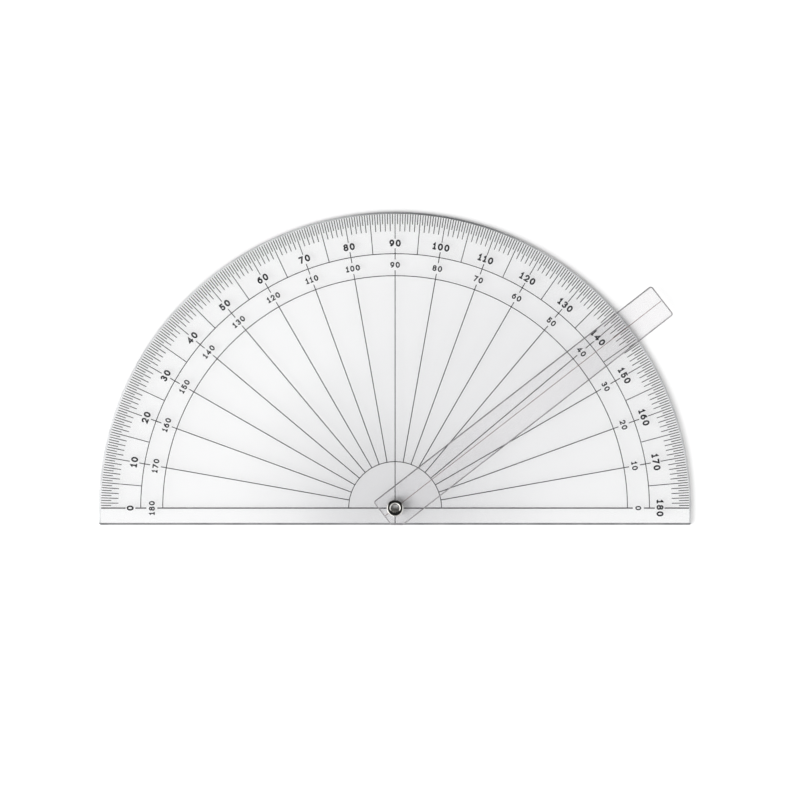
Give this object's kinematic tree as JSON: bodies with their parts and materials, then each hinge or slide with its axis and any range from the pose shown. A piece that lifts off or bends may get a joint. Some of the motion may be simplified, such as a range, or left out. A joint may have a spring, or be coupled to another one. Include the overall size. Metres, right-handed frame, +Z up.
{
  "type": "axis protractor",
  "caption": "Clear half-round protractor plate, graduated in half degrees, with a clear swing arm and index line turning on a hollow centre eyelet.",
  "frame": {"origin": "centre of the footprint, on the surface that the plate lies on", "axes": "+X along the base line, towards the right-hand end of the scales; +Y from the straight edge towards the top of the half circle; +Z up, out of the graduated face"},
  "size_m": [0.21, 0.111, 0.0044],
  "materials": {
    "clear_plate": "clear acrylic, polished faces, black line fill",
    "clear_arm": "clear plastic, polished faces, red-brown line fill",
    "nickel": "polished nickel plate",
    "nylon": "smooth, undyed"
  },
  "bodies": {
    "plate": {"scale_plate": "clear_plate", "pivot_eyelet": "nickel", "slip_washer": "nylon", "back_washer": "nickel"},
    "arm": {"swing_arm": "clear_arm"}
  },
  "joints": [
    {"name": "arm_swing", "type": "hinge", "parent": "plate", "child": "arm", "pos_m": [0, -0.0495, 0.00305], "axis": [0, 0, 1], "continuous": true}
  ]
}
